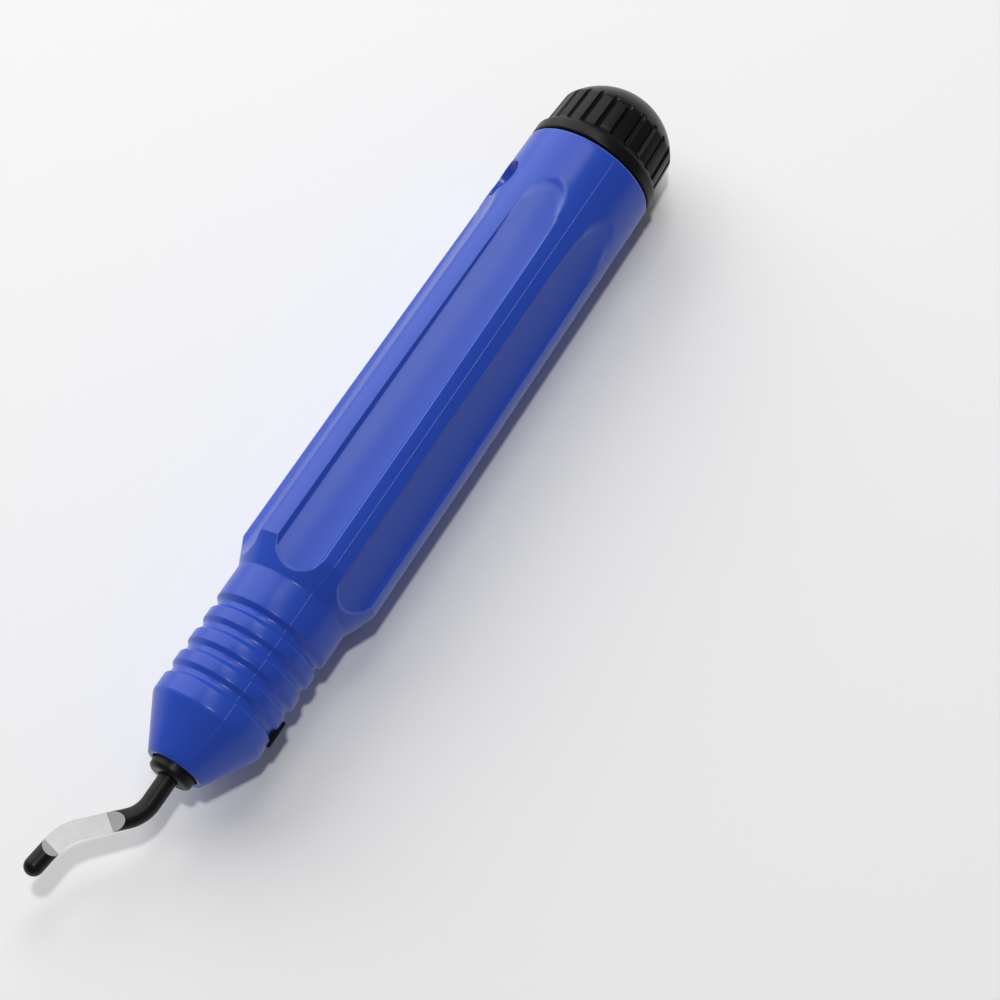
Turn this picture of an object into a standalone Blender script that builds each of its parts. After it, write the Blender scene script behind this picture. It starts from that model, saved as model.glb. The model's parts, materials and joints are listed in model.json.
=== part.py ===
"""A pen-shaped deburring tool with a swivelling S-shaped blade.

The handle lies on its side with the blade towards +X and +Z up. The origin is below the middle of
the tool, on the surface that it lies on. Inside, every piece is placed by its station, the distance
along the tool's axis from the front end of the handle's cone towards the cap, and by its bearing,
the angle about that axis from straight up towards +Y. All sizes are in metres.
"""

from math import asin, cos, hypot, pi, radians, sin, sqrt

import bmesh
import bpy

# Fits
GAP = 0.0003  # between faces that touch on the real tool
TURNING_GAP = 0.00015  # round a shaft that turns in a bush

# Handle: stations from the cone's front end, and outer radii
CONE_FRONT_R = 0.0049
CONE_EDGE_LENGTH = 0.0012
CONE_EDGE_R = 0.0056
CONE_END = 0.0082
CONE_END_R = 0.0096
NOSE_R = 0.00975
RIB_START = 0.0115
RIB_PITCH = 0.0042
RIB_COUNT = 4
RIB_GROOVE_LENGTH = 0.0023
RIB_GROOVE_DEPTH = 0.0006
RIB_GROOVE_SIDE = 0.0007  # length of each sloping side of a groove
NECK_R = 0.00995
NECK_END = 0.0324
SHOULDER_LENGTH = 0.0049
GRIP_FRONT_R = 0.01224
GRIP_MIDDLE = 0.065
GRIP_MIDDLE_R = 0.01216
GRIP_REAR = 0.107
GRIP_REAR_R = 0.01176
HANDLE_LENGTH = 0.1226
HANDLE_REAR_R = 0.0116
HANDLE_SIDES = 40

# Flutes round the grip
FLUTE_COUNT = 6
FLUTE_FLOOR = 0.01062  # from the axis to the flat strip along the floor
FLUTE_STRIP_HALF = 0.0018
FLUTE_FLOOR_HALF = 0.0036
FLUTE_FLOOR_RISE = 0.00026
FLUTE_WALL_SLOPE = 1.25  # widening for each unit of height
FLUTE_RAMP_START = 0.1010
FLUTE_END = 0.1128
SHORT_FLUTE_RAMP_START = 0.1035
SHORT_FLUTE_END = 0.1090
FLUTE_RAMP_STEPS = 3
FLUTE_RAMP_CURVE = 1.5  # power by which the floor curves up to the grip's surface

# Hang hole, through both walls along the bearing of one flute
HOLE_BEARING = radians(-60)
HOLE_STATION = 0.1122
HOLE_R = 0.0035

# Blade: a round bar with two bends, ground to half its depth near the tip
SHANK_R = 0.0016
BLADE_REACH = 0.0062  # straight length in front of the cone, before the first bend
SHANK_DEPTH = 0.0252  # from the cone's front end to the rear end of the shank
BEND_1_R = 0.0060
BEND_1_TURN = radians(43)
BLADE_RUN = 0.00725
BEND_2_R = 0.0075
BEND_2_TURN = radians(36)
BLADE_TIP_RUN = 0.00425  # up to the centre of the round tip
FLAT_START = 0.0050  # along the bar from the start of the first bend
FLAT_RUN_OUT = 0.0022
FLAT_END_RAMP = 0.0015
FLAT_TO_TIP = 0.0024  # from the end of that ramp to the centre of the tip
NECK_STATION = 0.01315
NECK_GROOVE_R = 0.000925
NECK_GROOVE_FLOOR = 0.0014
NECK_GROOVE_LENGTH = 0.0026
SHANK_CHAMFER = 0.0003
BLADE_BEARING = radians(-74.5)
BLADE_SIDES = 16

# Bearings
COLLAR_R = 0.00375
COLLAR_REACH = 0.00175
COLLAR_DEPTH = 0.0030
COLLAR_ROUND = 0.0006
NOSE_BUSH_R = 0.0030
NOSE_BUSH_DEPTH = 0.0094
REAR_BUSH_R = 0.0033
REAR_BUSH_FRONT = 0.0172
REAR_BUSH_LENGTH = 0.0072
BALL_R = 0.0020
CUP_R = 0.0045
CUP_WALL = 0.0012
BULKHEAD_R = 0.0069
BULKHEAD_LENGTH = 0.0050
BULKHEAD_RECESS_R = 0.0048
BULKHEAD_RECESS_DEPTH = 0.0020
BUSH_SIDES = 24

# Latch: a button, a keyhole plate in the blade's neck and a spring
BUTTON_BEARING = radians(120)
BUTTON_TRAVEL = 0.00145
BUTTON_TOP = 0.0097
BUTTON_BOTTOM = 0.0046
BUTTON_LENGTH = 0.0048
BUTTON_HALF_WIDTH = 0.0036
BUTTON_CHAMFER = 0.0008
PLATE_THICKNESS = 0.0007
PLATE_HALF_WIDTH = 0.0028
PLATE_TAIL = 0.0032
KEYHOLE_PLAY = 0.00016  # round the shank, and round its neck in the slot
SPRING_R = 0.00145
SPRING_WIRE_R = 0.00025
SPRING_COILS = 4
SPRING_SEAT = 0.0077
SPRING_POCKET_R = 0.0020

# Blade store and end cap
STORE_PLAY = 0.00066  # round the packed spare blades
STORE_TAPER = 0.0012  # length of the cone at the front of the store
CAP_PLUG_DEPTH = 0.0064
THREAD_GAP = 0.00035  # between the store's wall and the cap's plug
CAP_PLUG_WALL = 0.0019
CAP_HOLLOW_DEPTH = 0.0185
CAP_NECK_DEPTH = 0.0008  # of the groove that the seal lies in
SEAL_WIRE_R = 0.0006
SEAL_SEAT_STEP = 0.00075  # from the store's wall out to the seal's seat
SEAL_SEAT_DEPTH = 0.0022
FLANGE_R = 0.0116
FLANGE_LENGTH = 0.0033
CAP_GRIP_FRONT_R = 0.01085
CAP_GRIP_REAR_R = 0.01050
CAP_GRIP_START = 0.0043  # from the cap's front face
CAP_GRIP_LENGTH = 0.0050
DOME_R = 0.0117
CAP_GROOVES = 24
CAP_GROOVE_HALF = 0.00042
CAP_GROOVE_DEPTH = 0.00055
CAP_SIDES = 48

# Spare blades: two stacks, tips outwards, with their shanks side by side
SPARES_IN_STACK = 4
SPARE_PITCH = 2 * SHANK_R + GAP
SPARE_SIDES = 8

COLOURS = {  # colour, roughness, metallic
    "handle_blue": ((0.05, 0.11, 0.56), 0.42, 0.0),
    "black_plastic": ((0.012, 0.012, 0.013), 0.45, 0.0),
    "black_oxide": ((0.015, 0.015, 0.016), 0.38, 0.6),
    "bearing_bronze": ((0.45, 0.28, 0.12), 0.45, 1.0),
    "bright_steel": ((0.62, 0.62, 0.63), 0.30, 1.0),
    "seal_rubber": ((0.01, 0.01, 0.01), 0.70, 0.0),
    "inner_plastic": ((0.55, 0.56, 0.58), 0.50, 0.0),
}


def clear_scene():
    for old in list(bpy.data.objects):
        bpy.data.objects.remove(old)


def make_materials():
    made = {}
    for name, (colour, roughness, metallic) in COLOURS.items():
        material = bpy.data.materials.new(name)
        material.use_nodes = True
        shader = material.node_tree.nodes["Principled BSDF"]
        shader.inputs["Base Color"].default_value = (*colour, 1)
        shader.inputs["Roughness"].default_value = roughness
        shader.inputs["Metallic"].default_value = metallic
        made[name] = material
    return made


def make_empty(name, parent=None, location=(0, 0, 0), rotation=(0, 0, 0)):
    empty = bpy.data.objects.new(name, None)
    bpy.context.scene.collection.objects.link(empty)
    empty.parent = parent
    empty.location = location
    empty.rotation_euler = rotation
    return empty


def make_object(name, bm, parent, material=None):
    """Turns a bmesh into a smooth-shaded object under its parent; the mesh faces outwards."""
    bmesh.ops.remove_doubles(bm, verts=bm.verts, dist=1e-6)
    bmesh.ops.recalc_face_normals(bm, faces=bm.faces)
    mesh = bpy.data.meshes.new(name)
    bm.to_mesh(mesh)
    bm.free()
    mesh.shade_smooth()
    mesh.set_sharp_from_angle(angle=radians(35))
    made = bpy.data.objects.new(name, mesh)
    bpy.context.scene.collection.objects.link(made)
    made.parent = parent
    if material:
        mesh.materials.append(material)
    return made


def cut(target, cutter):
    """Takes the cutter away from the target."""
    cutter.hide_render = True
    cutter.display_type = "WIRE"
    boolean = target.modifiers.new(cutter.name, "BOOLEAN")
    boolean.operation = "DIFFERENCE"
    boolean.solver = "EXACT"
    boolean.object = cutter


def turned(outline, sides):
    """A solid turned about the local Z axis from (radius, station) points.

    An outline that starts and ends on the axis stays open there; any other one is closed."""
    bm = bmesh.new()
    points = [bm.verts.new((radius, 0, station)) for radius, station in outline]
    on_axis = outline[0][0] == 0 and outline[-1][0] == 0
    following = points[1:] if on_axis else points[1:] + points[:1]
    lines = [bm.edges.new(pair) for pair in zip(points, following)]
    bmesh.ops.spin(
        bm, geom=points + lines, axis=(0, 0, 1), angle=2 * pi, steps=sides, use_merge=True
    )
    return bm


def skinned(rings, bm=None, tip=None):
    """A closed solid skinned over rings with equal numbers of points.

    Its ends are flat, but the last one comes to the tip where there is one."""
    bm = bm or bmesh.new()
    loops = [[bm.verts.new(point) for point in ring] for ring in rings]
    for near, far in zip(loops, loops[1:]):
        for i, corner in enumerate(near):
            j = (i + 1) % len(near)
            bm.faces.new((corner, near[j], far[j], far[i]))
    bm.faces.new(loops[0][::-1])
    if tip is None:
        bm.faces.new(loops[-1])
        return bm
    point = bm.verts.new(tip)
    for i, corner in enumerate(loops[-1]):
        bm.faces.new((corner, loops[-1][(i + 1) % len(loops[-1])], point))
    return bm


def block(low, high):
    """A box between two corners."""
    rings = [
        [(low[0], low[1], z), (high[0], low[1], z), (high[0], high[1], z), (low[0], high[1], z)]
        for z in (low[2], high[2])
    ]
    return skinned(rings)


def arc(centre, radius, start, end, steps):
    """Points (radius, station) along an arc, by angles from the radial direction."""
    angles = [start + (end - start) * i / steps for i in range(steps + 1)]
    return [(centre[0] + radius * cos(a), centre[1] + radius * sin(a)) for a in angles]


def grip_radius(station):
    """The grip's outer radius between its front shoulder and its rear end."""
    stops = [
        (NECK_END + SHOULDER_LENGTH, GRIP_FRONT_R),
        (GRIP_MIDDLE, GRIP_MIDDLE_R),
        (GRIP_REAR, GRIP_REAR_R),
        (HANDLE_LENGTH, HANDLE_REAR_R),
    ]
    for (near, near_r), (far, far_r) in zip(stops, stops[1:]):
        if station <= far:
            return near_r + (far_r - near_r) * (station - near) / (far - near)
    return HANDLE_REAR_R


def flute_wall_half(height):
    """Half the flute's width at a height above its floor strip, in its wall."""
    return FLUTE_FLOOR_HALF + (height - FLUTE_FLOOR_RISE) * FLUTE_WALL_SLOPE


# The tool lies on its full round rear end and on the lands beside the lowest flute.
AXIS_HEIGHT = grip_radius(FLUTE_END)

REAR_BUSH_REAR = REAR_BUSH_FRONT + REAR_BUSH_LENGTH
BALL_STATION = SHANK_DEPTH + GAP + BALL_R
CUP_REAR = BALL_STATION + BALL_R + GAP + CUP_WALL
BULKHEAD_FRONT = CUP_REAR + GAP
BULKHEAD_REAR = BULKHEAD_FRONT + BULKHEAD_LENGTH
STORE_FRONT = BULKHEAD_REAR + GAP
CAP_FRONT = HANDLE_LENGTH + GAP
PLUG_END = HANDLE_LENGTH - CAP_PLUG_DEPTH
DOME_START = CAP_FRONT + CAP_GRIP_START + CAP_GRIP_LENGTH
DOME_CENTRE = DOME_START - sqrt(DOME_R**2 - CAP_GRIP_REAR_R**2)
CAP_APEX = DOME_CENTRE + DOME_R


def blade_stops():
    """Lengths along the bar, from the start of the first bend: both bends' ends and the tip."""
    bend_1_end = BEND_1_R * BEND_1_TURN
    bend_2_start = bend_1_end + BLADE_RUN
    bend_2_end = bend_2_start + BEND_2_R * BEND_2_TURN
    return bend_1_end, bend_2_start, bend_2_end, bend_2_end + BLADE_TIP_RUN


def blade_point(along):
    """(reach, offset, heading) of the bar's centre at a length from the first bend's start."""
    bend_1_end, bend_2_start, bend_2_end, _ = blade_stops()
    if along <= 0:
        return along, 0.0, 0.0
    heading = min(along, bend_1_end) / BEND_1_R
    reach, offset = BEND_1_R * sin(heading), BEND_1_R * (1 - cos(heading))
    run = min(max(along - bend_1_end, 0), BLADE_RUN)
    reach, offset = reach + run * cos(heading), offset + run * sin(heading)
    if along <= bend_2_start:
        return reach, offset, heading
    turned_back = heading - min(along - bend_2_start, bend_2_end - bend_2_start) / BEND_2_R
    reach += BEND_2_R * (sin(heading) - sin(turned_back))
    offset += BEND_2_R * (cos(turned_back) - cos(heading))
    run = max(along - bend_2_end, 0)
    return reach + run * cos(turned_back), offset + run * sin(turned_back), turned_back


def flat_level(along):
    """How far the ground flat lies from the bar's centre, at a length from the first bend."""
    ramp_end = blade_stops()[3] - FLAT_TO_TIP
    run_out = (FLAT_START + FLAT_RUN_OUT - along) / FLAT_RUN_OUT
    ramp = (along - ramp_end + FLAT_END_RAMP) / FLAT_END_RAMP
    return SHANK_R * min(max(run_out, ramp, 0), 1)


def blade_reach():
    """How far the blade's tip lies in front of its first bend."""
    return blade_point(blade_stops()[3])[0] + SHANK_R


# The spare blades lie with their shanks and their tips as far out as each other.
SPARE_SHANK_OFFSET = blade_point(blade_stops()[3] + SHANK_R)[1] / 2
SPARE_STACK_HALF = (SPARES_IN_STACK - 1) / 2 * SPARE_PITCH
STORE_R = hypot(SPARE_SHANK_OFFSET, SPARE_STACK_HALF) + SHANK_R + STORE_PLAY
CAP_PLUG_R = STORE_R - THREAD_GAP
CAP_HOLLOW_R = CAP_PLUG_R - CAP_PLUG_WALL
CAP_NECK_R = CAP_PLUG_R - CAP_NECK_DEPTH
SEAL_SEAT_R = STORE_R + SEAL_SEAT_STEP
SEAL_R = SEAL_SEAT_R - GAP - SEAL_WIRE_R


def blade_mesh(sides, steps):
    """The blade along local Z: tip towards -Z, first bend at the origin, offset towards +X.

    The flat faces +Y. Steps is the number of rings in each bend."""
    bend_1_end, bend_2_start, bend_2_end, tip = blade_stops()
    rear = SHANK_DEPTH + BLADE_REACH
    neck = NECK_STATION + BLADE_REACH
    half, floor_half = NECK_GROOVE_LENGTH / 2, NECK_GROOVE_FLOOR / 2
    sections = [
        (-rear, SHANK_R - SHANK_CHAMFER),
        (SHANK_CHAMFER - rear, SHANK_R),
        (-neck - half, SHANK_R),
        (-neck - floor_half, NECK_GROOVE_R),
        (-neck + floor_half, NECK_GROOVE_R),
        (-neck + half, SHANK_R),
    ]
    sections += [(bend_1_end * i / steps, SHANK_R) for i in range(steps + 1)]
    ramp_end = tip - FLAT_TO_TIP
    extra = [FLAT_START, FLAT_START + FLAT_RUN_OUT, ramp_end - FLAT_END_RAMP, ramp_end]
    bend_2 = [bend_2_start + (bend_2_end - bend_2_start) * i / steps for i in range(steps + 1)]
    sections += [(along, SHANK_R) for along in bend_2 + extra + [tip]]
    round_steps = max(2, sides // 4)
    for i in range(1, round_steps):
        turn = pi / 2 * i / round_steps
        sections.append((tip + SHANK_R * sin(turn), SHANK_R * cos(turn)))
    sections.sort()
    rings = []
    for along, radius in sections:
        reach, offset, heading = blade_point(along)
        ring = []
        for i in range(sides):
            angle = 2 * pi * i / sides
            across, up = radius * cos(angle), min(radius * sin(angle), flat_level(along))
            ring.append((offset + across * cos(heading), up, across * sin(heading) - reach))
        rings.append(ring)
    reach, offset, _ = blade_point(tip + SHANK_R)
    return skinned(rings, tip=(offset, 0, -reach))


def make_handle(axis, material):
    ribs = []
    for i in range(RIB_COUNT):
        start = RIB_START + RIB_PITCH * i
        crest = NOSE_R if i < RIB_COUNT - 1 else NECK_R
        floor = NOSE_R - RIB_GROOVE_DEPTH
        end = start + RIB_GROOVE_LENGTH
        ribs += [(NOSE_R, start), (floor, start + RIB_GROOVE_SIDE)]
        ribs += [(floor, end - RIB_GROOVE_SIDE), (crest, end)]
    grip_start = NECK_END + SHOULDER_LENGTH
    outside = [
        (CONE_FRONT_R, 0),
        (CONE_EDGE_R, CONE_EDGE_LENGTH),
        (CONE_END_R, CONE_END),
        (NOSE_R, CONE_END + NOSE_R - CONE_END_R + GAP),
        *ribs,
        (NECK_R, NECK_END),
        (GRIP_FRONT_R, grip_start),
        (GRIP_MIDDLE_R, GRIP_MIDDLE),
        (GRIP_REAR_R, GRIP_REAR),
        (grip_radius(FLUTE_END), FLUTE_END),
        (HANDLE_REAR_R, HANDLE_LENGTH),
    ]
    bushing = REAR_BUSH_R + GAP
    chamber = CUP_R + GAP
    plug = BULKHEAD_R + GAP
    inside = [
        (SEAL_SEAT_R, HANDLE_LENGTH),
        (SEAL_SEAT_R, HANDLE_LENGTH - SEAL_SEAT_DEPTH),
        (STORE_R, HANDLE_LENGTH - SEAL_SEAT_DEPTH),
        (STORE_R, STORE_FRONT + STORE_TAPER),
        (plug, STORE_FRONT),
        (plug, BULKHEAD_FRONT - GAP),
        (chamber, BULKHEAD_FRONT - GAP),
        (chamber, REAR_BUSH_REAR + GAP),
        (bushing, REAR_BUSH_REAR + GAP),
        (bushing, REAR_BUSH_FRONT - GAP),
        (SHANK_R + GAP, REAR_BUSH_FRONT - GAP),
        (SHANK_R + GAP, NOSE_BUSH_DEPTH + GAP),
        (NOSE_BUSH_R + GAP, NOSE_BUSH_DEPTH + GAP),
        (NOSE_BUSH_R + GAP, COLLAR_DEPTH + GAP),
        (COLLAR_R + GAP, COLLAR_DEPTH + GAP),
        (COLLAR_R + GAP, 0),
    ]
    handle = make_object("handle_body", turned(outside + inside, HANDLE_SIDES), axis, material)
    for i in range(FLUTE_COUNT):
        bearing = 2 * pi * i / FLUTE_COUNT
        short = abs(sin((bearing - HOLE_BEARING) / 2)) < 0.01
        cut(handle, make_flute(axis, bearing, short))
    hole = make_object("hang_hole_cutter", turned(rod(HOLE_R, 2 * GRIP_FRONT_R), 24), axis)
    hole.location.z = HOLE_STATION
    hole.rotation_euler = (0, pi / 2, HOLE_BEARING)
    cut(handle, hole)
    return handle


def rod(radius, half_length):
    """The outline of a plain rod centred on the origin."""
    return [(0, -half_length), (radius, -half_length), (radius, half_length), (0, half_length)]


def make_flute(axis, bearing, short):
    """The cutter of one flute; the short one ends in front of the hang hole."""
    start, end = FLUTE_RAMP_START, FLUTE_END
    if short:
        start, end = SHORT_FLUTE_RAMP_START, SHORT_FLUTE_END
    rise_by_end = grip_radius(end) - FLUTE_FLOOR
    top = 2 * (GRIP_FRONT_R - FLUTE_FLOOR)
    rings = []
    half = flute_wall_half(top)
    stops = [(NECK_END - SHOULDER_LENGTH, 0)]
    for i in range(FLUTE_RAMP_STEPS + 2):
        share = i / FLUTE_RAMP_STEPS
        stops.append((start + (end - start) * share, rise_by_end * share**FLUTE_RAMP_CURVE))
    for station, rise in stops:
        floor = FLUTE_FLOOR + rise
        rings.append(
            [
                (floor, -FLUTE_STRIP_HALF, station),
                (floor, FLUTE_STRIP_HALF, station),
                (floor + FLUTE_FLOOR_RISE, FLUTE_FLOOR_HALF, station),
                (floor + top, half, station),
                (floor + top, -half, station),
                (floor + FLUTE_FLOOR_RISE, -FLUTE_FLOOR_HALF, station),
            ]
        )
    cutter = make_object("flute_cutter", skinned(rings), axis)
    cutter.rotation_euler.z = bearing
    return cutter


def make_latch_room(handle, button_axis):
    """Cuts the button's pocket, the plate's channel and the spring's pocket into the handle."""
    pocket_half = BUTTON_LENGTH / 2 + GAP
    pocket = block(
        (BUTTON_BOTTOM - BUTTON_TRAVEL - GAP, -BUTTON_HALF_WIDTH - GAP, -pocket_half),
        (2 * BUTTON_TOP, BUTTON_HALF_WIDTH + GAP, pocket_half),
    )
    cut(handle, make_object("button_pocket_cutter", pocket, button_axis))
    channel = block(
        (-PLATE_TAIL - BUTTON_TRAVEL - GAP, -PLATE_HALF_WIDTH - GAP, -PLATE_THICKNESS / 2 - GAP),
        (BUTTON_BOTTOM, PLATE_HALF_WIDTH + GAP, PLATE_THICKNESS / 2 + GAP),
    )
    cut(handle, make_object("plate_channel_cutter", channel, button_axis))
    pocket_length = (SPRING_SEAT + GAP - PLATE_TAIL) / 2
    well = turned(rod(SPRING_POCKET_R, pocket_length), 16)
    well = make_object("spring_pocket_cutter", well, button_axis)
    well.location.x = -PLATE_TAIL - pocket_length
    well.rotation_euler.y = pi / 2
    cut(handle, well)


def make_nose_bush(axis, material):
    front = -COLLAR_REACH
    bore = SHANK_R + TURNING_GAP
    outline = [
        (bore, front),
        *arc((COLLAR_R - COLLAR_ROUND, front + COLLAR_ROUND), COLLAR_ROUND, -pi / 2, 0, 3),
        (COLLAR_R, COLLAR_DEPTH),
        (NOSE_BUSH_R, COLLAR_DEPTH),
        (NOSE_BUSH_R, NOSE_BUSH_DEPTH),
        (bore, NOSE_BUSH_DEPTH),
    ]
    return make_object("nose_bush", turned(outline, BUSH_SIDES), axis, material)


def make_rear_bearing(axis, materials):
    bore = SHANK_R + TURNING_GAP
    bush = [
        (bore, REAR_BUSH_FRONT),
        (REAR_BUSH_R, REAR_BUSH_FRONT),
        (REAR_BUSH_R, REAR_BUSH_REAR),
        (bore, REAR_BUSH_REAR),
    ]
    make_object("rear_bush", turned(bush, BUSH_SIDES), axis, materials["bearing_bronze"])
    ball = arc((0, BALL_STATION), BALL_R, -pi / 2, pi / 2, 8)
    ball[0], ball[-1] = (0, BALL_STATION - BALL_R), (0, BALL_STATION + BALL_R)
    make_object("thrust_ball", turned(ball, 16), axis, materials["bright_steel"])
    seat = arc((0, BALL_STATION), BALL_R + GAP, 0, pi / 2, 4)
    seat[-1] = (0, BALL_STATION + BALL_R + GAP)
    cup = [*seat[::-1], (CUP_R, BALL_STATION), (CUP_R, CUP_REAR), (0, CUP_REAR)]
    make_object("thrust_cup", turned(cup, BUSH_SIDES), axis, materials["bright_steel"])
    floor = BULKHEAD_REAR - BULKHEAD_RECESS_DEPTH
    plug = [
        (0, BULKHEAD_FRONT),
        (BULKHEAD_R, BULKHEAD_FRONT),
        (BULKHEAD_R, BULKHEAD_REAR),
        (BULKHEAD_RECESS_R, BULKHEAD_REAR),
        (BULKHEAD_RECESS_R, floor),
        (0, floor),
    ]
    make_object("bulkhead", turned(plug, BUSH_SIDES), axis, materials["inner_plastic"])


def make_button(button_axis, material):
    """The button, with its top edges bevelled; outwards is local +X."""
    half = BUTTON_LENGTH / 2
    shape = block((BUTTON_BOTTOM, -BUTTON_HALF_WIDTH, -half), (BUTTON_TOP, BUTTON_HALF_WIDTH, half))
    rim = [edge for edge in shape.edges if min(vert.co.x for vert in edge.verts) > BUTTON_TOP - GAP]
    bmesh.ops.bevel(shape, geom=rim, offset=BUTTON_CHAMFER, segments=2, profile=0.5, affect="EDGES")
    return make_object("release_button", shape, button_axis, material)


def make_latch_plate(button_axis, material):
    """The plate; the slot holds the blade's neck, and the keyhole beside it lets the shank out."""
    half = PLATE_THICKNESS / 2
    end = BUTTON_BOTTOM - GAP
    shank_hole = SHANK_R + KEYHOLE_PLAY
    slot_half = NECK_GROOVE_R + KEYHOLE_PLAY
    shape = block((-PLATE_TAIL, -PLATE_HALF_WIDTH, -half), (end, PLATE_HALF_WIDTH, half))
    plate = make_object("latch_plate", shape, button_axis, material)
    join = asin(slot_half / shank_hole)
    steps = 8
    hole = []
    for i in range(steps + 1):
        angle = pi - join - (2 * pi - 2 * join) * i / steps
        hole.append((BUTTON_TRAVEL + shank_hole * cos(angle), shank_hole * sin(angle)))
    slot = []
    for i in range(steps // 2 + 1):
        angle = -pi / 2 - pi * i / (steps // 2)
        slot.append((slot_half * cos(angle), slot_half * sin(angle)))
    rings = [[(x, y, z) for x, y in hole + slot] for z in (-PLATE_THICKNESS, PLATE_THICKNESS)]
    cut(plate, make_object("keyhole_cutter", skinned(rings), button_axis))
    return plate


def make_spring(button_axis, material):
    """A coil spring along local X, between the plate's tail and the pocket's end."""
    sides, steps = 6, 12
    start = -SPRING_SEAT + SPRING_WIRE_R
    length = SPRING_SEAT - PLATE_TAIL - GAP - 2 * SPRING_WIRE_R
    rings = []
    for i in range(SPRING_COILS * steps + 1):
        turn = 2 * pi * i / steps
        along = start + length * i / (SPRING_COILS * steps)
        ring = []
        for k in range(sides):
            angle = 2 * pi * k / sides
            radius = SPRING_R + SPRING_WIRE_R * cos(angle)
            ring.append((along + SPRING_WIRE_R * sin(angle), radius * cos(turn), radius * sin(turn)))
        rings.append(ring)
    return make_object("latch_spring", skinned(rings), button_axis, material)


def make_end_cap(axis, material):
    grip_start = CAP_FRONT + CAP_GRIP_START
    flange_end = CAP_FRONT + FLANGE_LENGTH
    hollow_end = PLUG_END + CAP_HOLLOW_DEPTH
    dome = arc((0, DOME_CENTRE), DOME_R, asin((DOME_START - DOME_CENTRE) / DOME_R), pi / 2, 7)
    dome[-1] = (0, CAP_APEX)
    outline = [
        (0, hollow_end),
        (CAP_HOLLOW_R / 2, hollow_end),
        (CAP_HOLLOW_R, hollow_end - CAP_HOLLOW_R / 2),
        (CAP_HOLLOW_R, PLUG_END),
        (CAP_PLUG_R, PLUG_END),
        (CAP_PLUG_R, HANDLE_LENGTH - SEAL_SEAT_DEPTH + GAP),
        (CAP_NECK_R, HANDLE_LENGTH - SEAL_SEAT_DEPTH + GAP),
        (CAP_NECK_R, CAP_FRONT),
        (FLANGE_R, CAP_FRONT),
        (FLANGE_R, flange_end),
        (CAP_GRIP_FRONT_R, grip_start),
        *dome,
    ]
    cap = make_object("end_cap", turned(outline, CAP_SIDES), axis, material)
    grooves = bmesh.new()
    for i in range(CAP_GROOVES):
        bearing = 2 * pi * (i + 0.5) / CAP_GROOVES
        rings = []
        for station, radius in ((grip_start, CAP_GRIP_FRONT_R), (DOME_START + GAP, CAP_GRIP_REAR_R)):
            rings.append([])
            floor, top = radius - CAP_GROOVE_DEPTH, radius + CAP_GROOVE_DEPTH
            for out, side in ((floor, 0.5), (floor, -0.5), (top, -1.5), (top, 1.5)):
                across = side * CAP_GROOVE_HALF
                x = out * cos(bearing) - across * sin(bearing)
                y = out * sin(bearing) + across * cos(bearing)
                rings[-1].append((x, y, station))
        skinned(rings, grooves)
    cut(cap, make_object("cap_groove_cutter", grooves, axis))
    return cap


def make_cap_seal(axis, material):
    station = HANDLE_LENGTH - SEAL_SEAT_DEPTH / 2
    ring = arc((SEAL_R, station), SEAL_WIRE_R, 0, 2 * pi, 8)[:-1]
    return make_object("cap_seal", turned(ring, BUSH_SIDES), axis, material)


def make_blades(axis, material):
    blade = make_object("cutting_blade", blade_mesh(BLADE_SIDES, 5), axis, material)
    blade.location.z = -BLADE_REACH
    blade.rotation_euler.z = BLADE_BEARING
    front = STORE_FRONT + STORE_TAPER + blade_reach()
    rear = HOLE_STATION - HOLE_R - GAP - blade_reach()
    spare = None
    for stack in range(2):
        for i in range(SPARES_IN_STACK):
            name = f"spare_blade_{stack * SPARES_IN_STACK + i + 1}"
            if spare is None:
                spare = make_object(name, blade_mesh(SPARE_SIDES, 3), axis, material)
                made = spare
            else:
                made = bpy.data.objects.new(name, spare.data)
                bpy.context.scene.collection.objects.link(made)
                made.parent = axis
            across = i * SPARE_PITCH - SPARE_STACK_HALF
            side = -1 if stack == 0 else 1
            station = front if stack == 0 else rear
            made.location = (side * SPARE_SHANK_OFFSET, across, station)
            made.rotation_euler.y = 0 if stack == 0 else pi


def main():
    clear_scene()
    materials = make_materials()
    nose_x = (CAP_APEX - BLADE_REACH - blade_reach()) / 2
    axis = make_empty("tool_axis", location=(nose_x, 0, AXIS_HEIGHT), rotation=(0, -pi / 2, 0))
    button_axis = make_empty("button_axis", axis, (0, 0, NECK_STATION), (0, 0, BUTTON_BEARING))
    handle = make_handle(axis, materials["handle_blue"])
    make_latch_room(handle, button_axis)
    make_nose_bush(axis, materials["black_oxide"])
    make_rear_bearing(axis, materials)
    make_button(button_axis, materials["black_plastic"])
    make_latch_plate(button_axis, materials["bright_steel"])
    make_spring(button_axis, materials["bright_steel"])
    make_end_cap(axis, materials["black_plastic"])
    make_cap_seal(axis, materials["seal_rubber"])
    make_blades(axis, materials["black_oxide"])


main()
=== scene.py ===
"""A deburring tool: a fluted blue handle, a swivelling S-shaped blade and a screw cap over spare blades.

Each piece is modelled in millimetres on the tool's own axis, which is local Z: stations run from the
front end of the cone towards the cap, and bearings are angles about the axis from local X, which is
up, towards local Y. TOOL then puts the mesh in its place in the frame.
"""
import json
from math import asin, cos, pi, radians, sin, sqrt, tan

import bpy
import numpy as np
from mathutils import Matrix, Vector


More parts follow.
